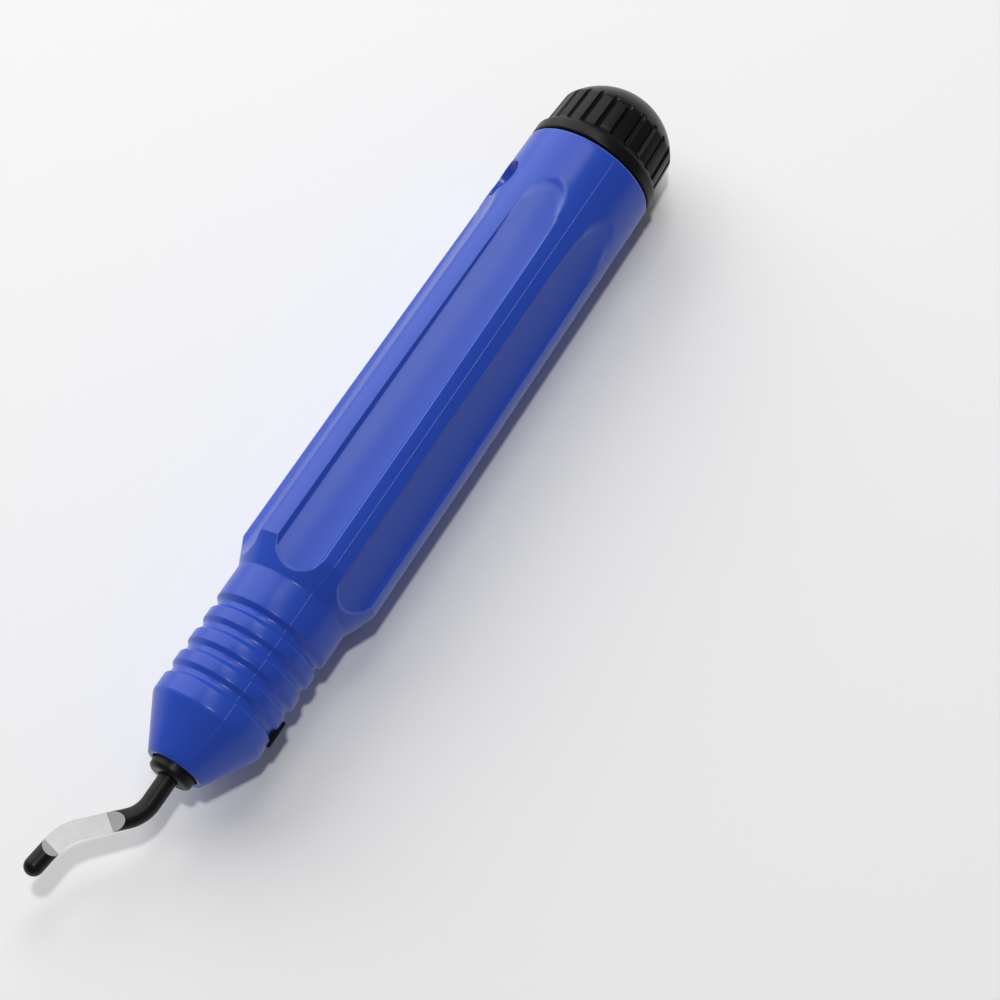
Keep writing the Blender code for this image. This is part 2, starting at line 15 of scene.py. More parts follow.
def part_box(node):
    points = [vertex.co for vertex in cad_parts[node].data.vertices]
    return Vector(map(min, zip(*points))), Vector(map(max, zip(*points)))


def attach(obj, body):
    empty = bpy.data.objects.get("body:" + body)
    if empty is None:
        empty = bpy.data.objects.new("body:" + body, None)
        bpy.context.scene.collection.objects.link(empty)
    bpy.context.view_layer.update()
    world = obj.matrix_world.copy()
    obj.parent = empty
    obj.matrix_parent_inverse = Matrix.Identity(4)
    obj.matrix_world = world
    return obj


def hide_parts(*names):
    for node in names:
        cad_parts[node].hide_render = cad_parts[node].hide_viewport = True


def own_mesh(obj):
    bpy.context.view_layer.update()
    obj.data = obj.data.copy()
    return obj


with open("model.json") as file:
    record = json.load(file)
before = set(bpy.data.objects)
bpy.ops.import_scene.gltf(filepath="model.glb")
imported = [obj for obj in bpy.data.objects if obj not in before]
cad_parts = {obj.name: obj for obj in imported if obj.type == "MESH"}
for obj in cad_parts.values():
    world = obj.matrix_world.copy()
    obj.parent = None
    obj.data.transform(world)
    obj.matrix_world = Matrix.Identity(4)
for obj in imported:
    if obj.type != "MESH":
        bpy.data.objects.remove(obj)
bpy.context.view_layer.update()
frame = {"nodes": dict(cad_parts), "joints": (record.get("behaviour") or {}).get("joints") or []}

SWIVEL = next(joint for joint in frame["joints"] if joint["name"] == "blade_swivel")
AXIS_HEIGHT = SWIVEL["pos_m"][2]
NOSE_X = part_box("handle_body")[1].x
TOOL = (
    Matrix.Translation((NOSE_X, 0, AXIS_HEIGHT))
    @ Matrix.Rotation(-pi / 2, 4, "Y")
    @ Matrix.Scale(0.001, 4)
)

# Handle, in mm
HANDLE_LENGTH = 122.6
HANDLE_REAR_R = 11.6
NECK_END = 32.4
SHOULDER_END = 37.3
GRIP_STOPS = ((SHOULDER_END, 12.24), (65.0, 12.16), (107.0, 11.76), (HANDLE_LENGTH, HANDLE_REAR_R))
RIB_STARTS = (11.5, 15.7, 19.9, 24.1)
RIB_GROOVE_LENGTH = 2.3
RIB_GROOVE_SIDE = 0.7
RIB_GROOVE_DEPTH = 0.6
NOSE_R = 9.75
NECK_R = 9.95
STORE_R = 9.2495
STORE_FRONT = 37.8
SEAT_R, SEAT_FRONT = 9.9995, 120.4

# Flutes
FLUTES = 6
FLUTE_FLOOR = 10.62
FLUTE_HALF = 3.6
FLUTE_RISE = 0.26
FLUTE_SLOPE = 1.25
FLUTE_FOOT = radians(18.3)
FOOT_ROUND, EDGE_ROUND, END_EDGE_ROUND = 0.16, 0.15, 0.5
RAMP_START, RAMP_END = 101.0, 112.8
RAMP_REACH, RAMP_CURVE = 0.74, 1.2
FLUTE_END_ROUND = 4.4
SHORT_RAMP_START, SHORT_RAMP_END = 103.5, 109.0
SHORT_FLUTE = 5
FLOOR_COLUMNS, WALL_COLUMNS, LAND_COLUMNS = 10, 12, 4
HALF_COLUMNS = FLOOR_COLUMNS + WALL_COLUMNS + LAND_COLUMNS + 2
HANDLE_SIDES = 2 * FLUTES * HALF_COLUMNS
PARTING_HEIGHT = 0.06

# Hang hole
HOLE_STATION = 112.2
HOLE_R = 3.5
HOLE_BEARING = radians(-60)
HOLE_ROUND = 0.4

# Blade
SHANK_R = 1.6
BLADE_REACH = 6.2
SHANK_DEPTH = 25.2
BEND_1_R, BEND_1_TURN = 6.0, radians(43)
BLADE_RUN = 7.25
BEND_2_R, BEND_2_TURN = 7.5, radians(36)
TIP_RUN = 4.25
FLAT_START, FLAT_RUN_OUT = 5.0, 2.2
FLAT_END_RAMP, FLAT_TO_TIP = 1.5, 2.4
FLAT_START_SLANT, FLAT_END_SLANT = 0.12, -0.1
NECK_STATION = 13.15
NECK_GROOVE_R = 0.925
BLADE_BEARING = radians(-74.5)

# Bearings behind the cone, with the gap that the pieces inside the handle keep round them
GAP = 0.3
COLLAR_R, COLLAR_END = 3.75, 3.0
SLEEVE_R, SLEEVE_END = 3.0, 9.4
SHANK_BORE_R = 1.9
BUSH_R, BUSH_FRONT, BUSH_END = 3.3, 17.2, 24.4
BALL_R = 2.0
CUP_R, CUP_END = 4.5, 31.0
BULKHEAD_R, BULKHEAD_END = 6.9, 36.3

# Latch
SPRING_SEAT, PLATE_FOOT = -7.7, -3.2
BUTTON_BEARING = radians(120)
BUTTON = (
    TOOL
    @ Matrix.Translation((0, 0, NECK_STATION))
    @ Matrix.Rotation(BUTTON_BEARING, 4, "Z")
)

# Cap
CAP_FRONT = 122.9
CAP_NECK_R = 8.0995
PLUG_R, PLUG_END, PLUG_REAR = 8.65, 116.2, 120.7
HOLLOW_R, HOLLOW_END = 6.9995, 134.7
FLANGE_R, FLANGE_REAR, FLANGE_SLOPE_END = 11.6, CAP_FRONT + 2.1, CAP_FRONT + 3.0
GRIP_FRONT, CAP_GRIP_FRONT_R, CAP_GRIP_R = CAP_FRONT + 4.0, 10.85, 10.5
THREAD_PITCH, THREAD_HEIGHT = 2, 0.4
DOME_START = 132.2
DOME_R = 11.7
DOME_CENTRE = DOME_START - sqrt(DOME_R**2 - CAP_GRIP_R**2)
CAP_GROOVES = 24
GROOVE_DEPTH, GROOVE_HALF = 0.55, 0.47


# Modelling


def deselect():
    bpy.ops.object.select_all(action="DESELECT")


def arc(centre, radius, start, end, steps):
    """Points (radius, station) along an arc, by angles from the radial direction."""
    turns = [start + (end - start) * i / steps for i in range(steps + 1)]
    return [(centre[0] + radius * cos(t), centre[1] + radius * sin(t)) for t in turns]


def rounded(corners, steps=4):
    """Points of a closed outline of (radius, station, rounding) corners."""
    points = []
    for i, (radius, station, rounding) in enumerate(corners):
        here = Vector((radius, station))
        before = Vector(corners[i - 1][:2]) - here
        after = Vector(corners[(i + 1) % len(corners)][:2]) - here
        if not rounding:
            points.append((radius, station))
            continue
        reach = rounding / tan(before.angle(after) / 2)
        reach = min(reach, before.length * 0.48, after.length * 0.48)
        start, end = here + before.normalized() * reach, here + after.normalized() * reach
        for k in range(steps + 1):
            t = k / steps
            point = start * (1 - t) ** 2 + here * 2 * t * (1 - t) + end * t**2
            points.append((point.x, point.y))
    return points


def with_steps(outline, longest):
    """The outline with points added, so that no step is longer than longest(station)."""
    points = [outline[0]]
    for near, far in zip(outline, outline[1:]):
        middle = (near[1] + far[1]) / 2
        length = sqrt((far[0] - near[0]) ** 2 + (far[1] - near[1]) ** 2)
        parts = max(1, round(length / longest(middle) + 0.49))
        for k in range(1, parts + 1):
            share = k / parts
            points.append(tuple(a + (b - a) * share for a, b in zip(near, far)))
    return points


def turned(name, outline, sides):
    """Draws an outline of (radius, station) points by extruding a point, and spins it about the axis."""
    deselect()
    bpy.ops.mesh.primitive_plane_add(size=1, location=(0, 0, 0))
    piece = bpy.context.object
    piece.name = name
    piece.data.name = name
    bpy.ops.object.mode_set(mode="EDIT")
    bpy.ops.mesh.select_mode(type="VERT")
    bpy.ops.mesh.select_all(action="SELECT")
    bpy.ops.mesh.merge(type="CENTER")
    bpy.ops.transform.translate(value=(outline[0][0], 0, outline[0][1]))
    for near, far in zip(outline, outline[1:]):
        move = {"value": (far[0] - near[0], 0, far[1] - near[1])}
        bpy.ops.mesh.extrude_region_move(TRANSFORM_OT_translate=move)
    bpy.ops.object.mode_set(mode="OBJECT")
    row = piece.data.attributes.new("row", "INT", "POINT")
    row.data.foreach_set("value", np.arange(len(outline), dtype=np.int32))
    bpy.ops.object.mode_set(mode="EDIT")
    bpy.ops.mesh.select_all(action="SELECT")
    bpy.ops.mesh.spin(
        steps=sides, angle=2 * pi, use_auto_merge=True, center=(0, 0, 0), axis=(0, 0, 1)
    )
    bpy.ops.mesh.select_all(action="SELECT")
    bpy.ops.mesh.remove_doubles(threshold=0.0005)
    bpy.ops.mesh.normals_make_consistent(inside=False)
    bpy.ops.object.mode_set(mode="OBJECT")
    return piece


def points_of(piece):
    """Every point's place, with its row on the outline and its column round the axis, 0 to 1."""
    mesh = piece.data
    places = np.zeros(len(mesh.vertices) * 3)
    mesh.vertices.foreach_get("co", places)
    places = places.reshape(-1, 3)
    rows = np.zeros(len(mesh.vertices), np.int32)
    if "row" in mesh.attributes:
        mesh.attributes["row"].data.foreach_get("value", rows)
    turn = np.arctan2(places[:, 1], places[:, 0]) / (2 * pi) % 1
    return places, rows, turn


def move_points(piece, places):
    piece.data.vertices.foreach_set("co", np.asarray(places, float).ravel())
    piece.data.update()


def in_edit_mode(piece, *steps):
    """Runs mesh operators on all of a piece; each step is an operator and its settings."""
    deselect()
    piece.select_set(True)
    bpy.context.view_layer.objects.active = piece
    bpy.ops.object.mode_set(mode="EDIT")
    bpy.ops.mesh.select_all(action="SELECT")
    for operator, settings in steps:
        operator(**settings)
    bpy.ops.object.mode_set(mode="OBJECT")


def apply_modifier(piece, kind, **settings):
    modifier = piece.modifiers.new(kind.lower(), kind)
    for key, value in settings.items():
        setattr(modifier, key, value)
    deselect()
    piece.select_set(True)
    bpy.context.view_layer.objects.active = piece
    bpy.ops.object.modifier_apply(modifier=modifier.name)


def carve(piece, cutter, **settings):
    """Takes the cutter out of the piece, and removes the cutter."""
    settings |= {"operation": "DIFFERENCE", "solver": "EXACT", "object": cutter}
    apply_modifier(piece, "BOOLEAN", **settings)
    bpy.data.objects.remove(cutter)


def finished(piece, place, body, slot, material, *replaced, sharp=32):
    """Puts a piece in its place, shades it and hands it to its body."""
    deselect()
    piece.select_set(True)
    bpy.context.view_layer.objects.active = piece
    if "row" in piece.data.attributes:
        piece.data.attributes.remove(piece.data.attributes["row"])
    piece.data.transform(place)
    bpy.ops.object.shade_smooth_by_angle(angle=radians(sharp))
    if material:
        piece.data.materials.append(material)
    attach(piece, body)
    if replaced:
        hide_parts(*replaced)
    return piece


def smooth_least(a, b, width):
    """The lesser of two heights, rounded over a width where they cross."""
    share = np.clip(0.5 + 0.5 * (b - a) / width, 0, 1)
    return b + (a - b) * share - width * share * (1 - share) / 2


# Handle


def grip_radius(station):
    return np.interp(station, [s for s, _ in GRIP_STOPS], [r for _, r in GRIP_STOPS])


def ramp_rise(station, short):
    """How far a flute's floor has risen towards the grip's surface, which it doesn't quite reach."""
    start = np.where(short, SHORT_RAMP_START, RAMP_START)
    end = np.where(short, SHORT_RAMP_END, RAMP_END)
    share = np.clip((station - start) / (end - start), 0, 1)
    return (grip_radius(station) - FLUTE_FLOOR) * RAMP_REACH * share**RAMP_CURVE


def flute_radius(station, across_angle, short):
    """Distance from the axis to a flute's wall and floor, at an angle from its middle."""
    level = FLUTE_FLOOR + ramp_rise(station, short)
    end = np.where(short, SHORT_RAMP_END, RAMP_END)
    beyond = np.maximum(station - end + FLUTE_END_ROUND, 0) * FLUTE_HALF / FLUTE_END_ROUND
    distance = level / np.cos(across_angle)
    for _ in range(14):
        across = np.abs(distance * np.sin(across_angle))
        floor = level + FLUTE_RISE * (across / FLUTE_HALF) ** 2
        foot = level + FLUTE_RISE * np.minimum(across / FLUTE_HALF, 1) ** 2
        wall = foot + (np.hypot(across, beyond) - FLUTE_HALF) / FLUTE_SLOPE
        height = -smooth_least(-floor, -wall, FOOT_ROUND)
        distance = height / np.cos(across_angle)
    return distance


def handle_surface(station, radius, bearing):
    """The outer radius with its flutes, from the radius without them, and a mask of their edges for a
    painted highlight.
    """
    sector = np.round(bearing / (2 * pi / FLUTES))
    across_angle = bearing - sector * 2 * pi / FLUTES
    short = (sector % FLUTES) == SHORT_FLUTE
    flute = flute_radius(station, across_angle, short)
    past_end = station - np.where(short, SHORT_RAMP_END, RAMP_END)
    width = np.interp(past_end, (-5.5, -1.5), (EDGE_ROUND, END_EDGE_ROUND))
    # The edge mask marks the flutes' rounded edges, where a lighter colour is painted on as a highlight.
    crisp = np.interp(past_end, (-4, -1), (1, 0))
    edges = crisp * np.clip(1 - np.abs(radius - flute) / width, 0, 1)
    return smooth_least(radius, flute, width), edges


def column_bearings(column, radius):
    """Bearings of the handle's columns, close together at the flutes' walls and parting lines."""
    sector, place = column // (2 * HALF_COLUMNS), column % (2 * HALF_COLUMNS)
    mirrored = place > HALF_COLUMNS
    place = np.where(mirrored, 2 * HALF_COLUMNS - place, place)
    wall_height = np.sqrt(np.maximum(radius, 11) ** 2 - 4**2) - FLUTE_FLOOR - FLUTE_RISE
    edge = FLUTE_HALF + FLUTE_SLOPE * wall_height
    top = np.arcsin(np.maximum(edge, 3.74) / np.maximum(radius, HANDLE_REAR_R))
    land = pi / FLUTES
    near = radians(0.4)
    first_land = FLOOR_COLUMNS + WALL_COLUMNS
    wall_start, wall_end = FLUTE_FOOT - near, top + near
    land_start, land_end = top + 2 * near, land - 4 * near
    on_floor = place / (FLOOR_COLUMNS - 1) * (FLUTE_FOOT - radians(0.7))
    on_wall = wall_start + (place - FLOOR_COLUMNS) / (WALL_COLUMNS - 1) * (wall_end - wall_start)
    on_land = land_start + (place - first_land) / (LAND_COLUMNS - 1) * (land_end - land_start)
    side = np.select(
        [place < FLOOR_COLUMNS, place < first_land, place < first_land + LAND_COLUMNS],
        [on_floor, on_wall, on_land],
        land - np.where(place == HALF_COLUMNS, 0, 0.09) / radius,
    )
    return np.where(mirrored, (sector + 1) * 2 * land - side, sector * 2 * land + side)


def handle_outline():
    """The handle's closed outline, outside and inside, and how many of its points are outside."""
    outside = [(4.9, 0, 0.3), (5.6, 1.2, 0.8), (9.6, 8.2, 0.6), (NOSE_R, 8.65, 0.9)]
    for i, start in enumerate(RIB_STARTS):
        crest = NOSE_R if i < len(RIB_STARTS) - 1 else NECK_R
        end = start + RIB_GROOVE_LENGTH
        floor = NOSE_R - RIB_GROOVE_DEPTH
        outside += [(NOSE_R, start, 0.55), (floor, start + RIB_GROOVE_SIDE, 0.55)]
        outside += [(floor, end - RIB_GROOVE_SIDE, 0.55), (crest, end, 0.4)]
    outside += [(NECK_R, NECK_END, 0.9), (GRIP_STOPS[0][1], SHOULDER_END, 0.5)]
    outside += [(radius, station, 0) for station, radius in GRIP_STOPS[1:3]]
    outside += [(HANDLE_REAR_R, HANDLE_LENGTH, 0.35)]
    inside = [
        (SEAT_R, HANDLE_LENGTH, 0.2),
        (SEAT_R, SEAT_FRONT, 0),
        (STORE_R, SEAT_FRONT, 0.1),
        (STORE_R, STORE_FRONT, 0),
        (BULKHEAD_R + GAP, BULKHEAD_END + GAP, 0),
        (BULKHEAD_R + GAP, CUP_END, 0),
        (CUP_R + GAP, CUP_END, 0),
        (CUP_R + GAP, BUSH_END + GAP, 0),
        (BUSH_R + GAP, BUSH_END + GAP, 0),
        (BUSH_R + GAP, BUSH_FRONT - GAP, 0),
        (SHANK_BORE_R, BUSH_FRONT - GAP, 0),
        (SHANK_BORE_R, SLEEVE_END + GAP, 0),
        (SLEEVE_R + GAP, SLEEVE_END + GAP, 0),
        (SLEEVE_R + GAP, COLLAR_END + GAP, 0),
        (COLLAR_R + GAP, COLLAR_END + GAP, 0),
        (COLLAR_R + GAP, 0, 0.2),
    ]
    outline = rounded(outside + inside)
    outline.append(outline[0])
    outside_count = next(i for i, (_, s) in enumerate(outline) if s > HANDLE_LENGTH - 0.01)

    def longest(station):
        if NECK_END - 0.5 < station < SHOULDER_END + 0.6:
            return 0.13
        if RAMP_END - 5.3 < station < RAMP_END + 0.9:
            return 0.12
        if RAMP_START - 0.5 < station < 117:
            return 0.6
        return 4.0

    outer = with_steps(outline[: outside_count + 1], longest)
    return outer + outline[outside_count + 1 :], len(outer)


def hole_mouth(bearing):
    """The cutter of the hang hole on one side, whose rounded mouth follows the handle's surface."""
    sides = 72
    turns = [radians(t) for t in (0, 18, 36, 54, 70, 82)]
    outline = [(0, 0), (HOLE_R, 0)]
    outline += [(HOLE_R + HOLE_ROUND * (1 - cos(t)), HOLE_ROUND * (sin(t) - 1)) for t in turns]
    outline += [(HOLE_R + HOLE_ROUND * 1.6, 0.1), (HOLE_R + HOLE_ROUND * 1.6, 6), (0, 6)]
    cutter = turned("hang_hole_cutter", outline, sides)
    places, rows, turn = points_of(cutter)
    follows = (rows >= 2) & (rows <= len(outline) - 3)
    distance = np.hypot(places[:, 0], places[:, 1])
    station = HOLE_STATION + distance * np.cos(turn * 2 * pi)
    across = distance * np.sin(turn * 2 * pi)
    height = np.full(len(places), 11.5)
    for _ in range(20):
        turned_by = np.arctan2(across, height)
        radius, _ = handle_surface(station, grip_radius(station), bearing + turned_by)
        height = np.sqrt(np.maximum(radius**2 - across**2, 1))
    lift = np.where(follows, height + places[:, 2], np.where(rows < 2, 0, 16))
    x = lift * cos(bearing) - across * sin(bearing)
    y = lift * sin(bearing) + across * cos(bearing)
    move_points(cutter, np.stack([x, y, station], 1))
    in_edit_mode(cutter, (bpy.ops.mesh.normals_make_consistent, {"inside": False}))
    return cutter


def box_cutter(low, high, rounding):
    """A box between two corners on the button's axis, with its upright edges rounded."""
    deselect()
    bpy.ops.mesh.primitive_cube_add(size=1, location=(0, 0, 0))
    cutter = bpy.context.object
    size = [b - a for a, b in zip(low, high)]
    middle = [(a + b) / 2 for a, b in zip(low, high)]
    cutter.data.transform(Matrix.Translation(middle) @ Matrix.Diagonal((*size, 1)))
    if rounding:
        for edge in cutter.data.edges:
            a, b = (cutter.data.vertices[i].co for i in edge.vertices)
            edge.select = abs(a.x - b.x) > 0.5 * size[0]
        bpy.ops.object.mode_set(mode="EDIT")
        bpy.ops.mesh.select_mode(type="EDGE")
        bpy.ops.object.mode_set(mode="OBJECT")
        for edge in cutter.data.edges:
            a, b = (cutter.data.vertices[i].co for i in edge.vertices)
            edge.select = abs(a.x - b.x) > 0.5 * size[0]
        bpy.ops.object.mode_set(mode="EDIT")
        bpy.ops.mesh.bevel(offset=rounding, segments=5, affect="EDGES")
        bpy.ops.object.mode_set(mode="OBJECT")
    return cutter


def make_handle(material):
    """The handle with its flutes, the hang hole through both walls and the pocket for the button."""
    outline, outer_rows = handle_outline()
    handle = turned("fluted_handle", outline, HANDLE_SIDES)
    _, rows, turn = points_of(handle)
    stations = np.array([s for _, s in outline])[rows]
    radii = np.array([r for r, _ in outline])[rows]
    column = np.round(turn * HANDLE_SIDES).astype(int) % HANDLE_SIDES
    bearing = column_bearings(column, radii)
    outer = rows < outer_rows
    surface, edges = handle_surface(stations, radii, bearing)
    surface = np.where(outer, surface, radii)
    # Painted highlight: the mask also takes in the rear rim, and the blue is painted lighter along every
    # marked edge.
    edges = np.maximum(edges, stations > HANDLE_LENGTH - 0.3) * outer
    mask = handle.data.attributes.new("edge", "FLOAT", "POINT")
    mask.data.foreach_set("value", edges.astype(np.float32))
    parting = (column == HALF_COLUMNS) | (column == HALF_COLUMNS + HANDLE_SIDES // 2)
    surface += PARTING_HEIGHT * (parting & outer & (stations > 0.4) & (stations < HANDLE_LENGTH - 0.4))
    move_points(handle, np.stack([surface * np.cos(bearing), surface * np.sin(bearing), stations], 1))
    carve(handle, hole_mouth(HOLE_BEARING))
    carve(handle, hole_mouth(HOLE_BEARING + pi))
    to_tool = TOOL.inverted() @ BUTTON
    pocket = box_cutter((2.85, -3.9, -2.7), (20, 3.9, 2.7), 0.5)
    pocket.data.transform(to_tool)
    carve(handle, pocket)
    return finished(handle, TOOL, "handle", "handle_blue", material, "handle_body", sharp=34)


# Blade


def blade_stops():
    """Lengths along the bar at which its stretches end, from the first bend's start to the tip."""
    bend_1_end = BEND_1_R * BEND_1_TURN
    bend_2_start = bend_1_end + BLADE_RUN
    bend_2_end = bend_2_start + BEND_2_R * BEND_2_TURN
    return bend_1_end, bend_2_start, bend_2_end, bend_2_end + TIP_RUN


def blade_point(along):
    """(reach, offset, heading) of the bar's middle at lengths from the first bend's start."""
    bend_1_end, bend_2_start, bend_2_end, _ = blade_stops()
    heading = np.clip(along, 0, bend_1_end) / BEND_1_R
    back = np.clip(along - bend_2_start, 0, bend_2_end - bend_2_start) / BEND_2_R
    run = np.clip(along - bend_1_end, 0, BLADE_RUN)
    end = np.maximum(along - bend_2_end, 0)
    reach = np.minimum(along, 0) + BEND_1_R * np.sin(heading) + run * np.cos(heading)
    reach = reach + BEND_2_R * (np.sin(heading) - np.sin(heading - back)) + end * np.cos(heading - back)
    offset = BEND_1_R * (1 - np.cos(heading)) + run * np.sin(heading)
    offset = offset + BEND_2_R * (np.cos(heading - back) - np.cos(heading)) + end * np.sin(heading - back)
    return reach, offset, heading - back


def blade_outline(steps):
    """The straight bar that is bent into the blade, with its neck groove and its round tip."""
    tip = blade_stops()[3]
    rear = SHANK_DEPTH + BLADE_REACH
    neck = NECK_STATION + BLADE_REACH
    corners = [
        (0, -rear, 0),
        (SHANK_R, -rear, 0.3),
        (SHANK_R, -neck - 1.3, 0.25),
        (NECK_GROOVE_R, -neck - 0.7, 0.3),
        (NECK_GROOVE_R, -neck + 0.7, 0.3),
        (SHANK_R, -neck + 1.3, 0.25),
        (SHANK_R, tip, 0),
    ]
    outline = rounded(corners, 3)
    outline = with_steps(outline, lambda station: 30 if station < -1 else steps)
    outline += [(SHANK_R * cos(t), tip + SHANK_R * sin(t)) for t in np.linspace(0, pi / 2, 9)[1:-1]]
    return outline + [(0, tip + SHANK_R)]


def flat_cutter(material):
    """What the ground flat takes off: its underside is the flat, with a sloping facet at each end."""
    ramp_end = blade_stops()[3] - FLAT_TO_TIP
    parts = 60
    deselect()
    bpy.ops.mesh.primitive_grid_add(x_subdivisions=parts, y_subdivisions=4, size=1)
    cutter = bpy.context.object
    grid, _, _ = points_of(cutter)
    place = np.round((grid[:, 0] + 0.5) * parts)
    stops = (0, 1, 2, parts - 2, parts - 1, parts)
    flat_end = ramp_end - FLAT_END_RAMP
    over = 1.1
    lengths = (FLAT_START - over, FLAT_START, FLAT_START + FLAT_RUN_OUT, flat_end, ramp_end, ramp_end + over)
    first_level, last_level = (SHANK_R * (1 + over / facet) for facet in (FLAT_RUN_OUT, FLAT_END_RAMP))
    levels = (first_level, SHANK_R, 0, 0, SHANK_R, last_level)
    across = grid[:, 1] * 6
    slant = np.interp(place, (2, parts - 2), (FLAT_START_SLANT, FLAT_END_SLANT))
    reach, offset, heading = blade_point(np.interp(place, stops, lengths) + slant * across)
    x = offset + across * np.cos(heading)
    z = across * np.sin(heading) - reach
    move_points(cutter, np.stack([x, np.interp(place, stops, levels), z], 1))
    up = {"TRANSFORM_OT_translate": {"value": (0, 5, 0)}}
    in_edit_mode(cutter, (bpy.ops.mesh.extrude_region_move, up))
    in_edit_mode(cutter, (bpy.ops.mesh.normals_make_consistent, {"inside": False}))
    cutter.data.materials.append(material)
    return cutter


def shaped_blade(name, sides, step, materials):
    """The blade on its own axis: first bend at the origin, tip towards -Z, offset towards +X."""
    outline = blade_outline(step)
    blade = turned(name, outline, sides)
    _, rows, turn = points_of(blade)
    along = np.array([s for _, s in outline])[rows]
    radius = np.array([r for r, _ in outline])[rows]
    reach, offset, heading = blade_point(along)
    across = radius * np.cos(turn * 2 * pi)
    x = offset + across * np.cos(heading)
    z = across * np.sin(heading) - reach
    move_points(blade, np.stack([x, radius * np.sin(turn * 2 * pi), z], 1))
    in_edit_mode(blade, (bpy.ops.mesh.normals_make_consistent, {"inside": False}))
    blade.data.materials.append(materials[0])
    carve(blade, flat_cutter(materials[1]), material_mode="TRANSFER")
    return blade


def make_blade(materials):
    blade = shaped_blade("swivel_blade", 64, 0.3, materials)
    first_bend = Matrix.Translation((0, 0, -BLADE_REACH))
    place = TOOL @ first_bend @ Matrix.Rotation(BLADE_BEARING, 4, "Z")
    return finished(blade, place, "blade", "black_oxide", None, "cutting_blade", sharp=24)


def make_spares(materials):
    """Eight spare blades in the store: two stacks of four, tips outwards."""
    first = shaped_blade("spare", 24, 0.8, materials)
    reach, offset, _ = blade_point(np.array([blade_stops()[3] + SHANK_R]))
    shank_offset = offset[0] / 2
    pitch = 2 * SHANK_R + GAP
    stations = (STORE_FRONT + reach[0], HOLE_STATION - HOLE_R - GAP - reach[0])
    for stack in range(2):
        turn = Matrix.Rotation(pi * stack, 4, "Y")
        for i in range(4):
            across = (i - 1.5) * pitch
            spare = first.copy()
            spare.data = first.data.copy()
            spare.name = f"stored_blade_{stack * 4 + i + 1}"
            bpy.context.scene.collection.objects.link(spare)
            side = shank_offset if stack else -shank_offset
            place = TOOL @ Matrix.Translation((side, across, stations[stack])) @ turn
            node = f"spare_blade_{stack * 4 + i + 1}"
            finished(spare, place, "handle", "black_oxide", None, node, sharp=24)
    bpy.data.objects.remove(first)


# Cap


def cap_outline():
    """The cap's outline, from the middle of its hollow over its plug, flange and grip to its dome."""
    dome_start = asin((DOME_START - DOME_CENTRE) / DOME_R)
    corners = [
        (0, HOLLOW_END, 0),
        (HOLLOW_R / 2, HOLLOW_END, 0.5),
        (HOLLOW_R, HOLLOW_END - HOLLOW_R / 2, 0.5),
        (HOLLOW_R, PLUG_END, 0.3),
        (PLUG_R, PLUG_END, 0.3),
        (PLUG_R, PLUG_REAR, 0.2),
        (CAP_NECK_R, PLUG_REAR, 0.15),
        (CAP_NECK_R, CAP_FRONT, 0.15),
        (FLANGE_R, CAP_FRONT, 0.45),
        (FLANGE_R, FLANGE_REAR, 0.5),
        (CAP_GRIP_FRONT_R, FLANGE_SLOPE_END, 0.5),
        (CAP_GRIP_FRONT_R, GRIP_FRONT, 0),
    ]
    outline = rounded(corners)
    outline = with_steps(outline, lambda s: 0.14 if s < CAP_FRONT or 125.4 < s < 130 else 4)
    grip = [(CAP_GRIP_FRONT_R, GRIP_FRONT), (CAP_GRIP_R, DOME_START)]
    outline += with_steps(grip, lambda station: 0.18)[1:]
    dome = arc((0, DOME_CENTRE), DOME_R, dome_start, pi / 2, 30)
    return outline + dome[1:-1] + [(0, DOME_CENTRE + DOME_R)]


def make_cap(material):
    """The cap, with grooves in its grip that die out on the dome, and a thread ridge on its plug."""
    columns = 14
    sides = CAP_GROOVES * columns
    outline = cap_outline()
    cap = turned("screw_cap", outline, sides)
    _, rows, turn = points_of(cap)
    station = np.array([s for _, s in outline])[rows]
    radius = np.array([r for r, _ in outline])[rows]
    column = np.round(turn * sides)
    place = (column % columns) / columns
    knots = (0, 0.07, 0.13, 0.19, 0.25, 0.34, 0.42, 0.5, 0.58, 0.66, 0.75, 0.81, 0.87, 0.93, 1)
    place = np.interp(place * columns, range(columns + 1), knots)
    bearing = (column // columns + place) * 2 * pi / CAP_GROOVES
    off_middle = np.minimum(place, 1 - place) * 2 * pi / CAP_GROOVES * 10.7
    valley = np.clip(1 - (off_middle / GROOVE_HALF) ** 2, 0, 1)
    outer = radius > 10.2
    front, rear = FLANGE_SLOPE_END - 0.1, DOME_START + 0.9
    ends = np.clip((station - front) / 0.5, 0, 1) * np.clip((rear - station) / 1.3, 0, 1)
    depth = GROOVE_DEPTH * valley * np.sqrt(ends) * ((station > front) & (station < rear))
    on_plug = (station > PLUG_END + 0.3) & (station < PLUG_REAR - 0.3) & (radius > 8.5) & (radius < 9)
    climb = ((station - PLUG_END) / THREAD_PITCH - bearing / (2 * pi)) % 1
    ridge = np.clip(1.4 - 4 * np.abs(climb - 0.5), 0, 1)
    run_in = np.clip((station - PLUG_END - 0.4) / 0.8, 0, 1)
    run_out = np.clip((PLUG_REAR - 0.4 - station) / 0.6, 0, 1)
    radius = radius - depth * outer + THREAD_HEIGHT * ridge * run_in * run_out * on_plug
    move_points(cap, np.stack([radius * np.cos(bearing), radius * np.sin(bearing), station], 1))
    return finished(cap, TOOL, "cap", "black_plastic", material, "end_cap", sharp=38)


def make_turned(name, corners, sides, body, slot, material, node, sharp=32):
    """A piece turned from a closed outline of (radius, station, rounding) corners."""
    outline = rounded(corners)
    if min(radius for radius, _ in outline) > 0:
        outline.append(outline[0])
    piece = turned(name, outline, sides)
    return finished(piece, TOOL, body, slot, material, node, sharp=sharp)


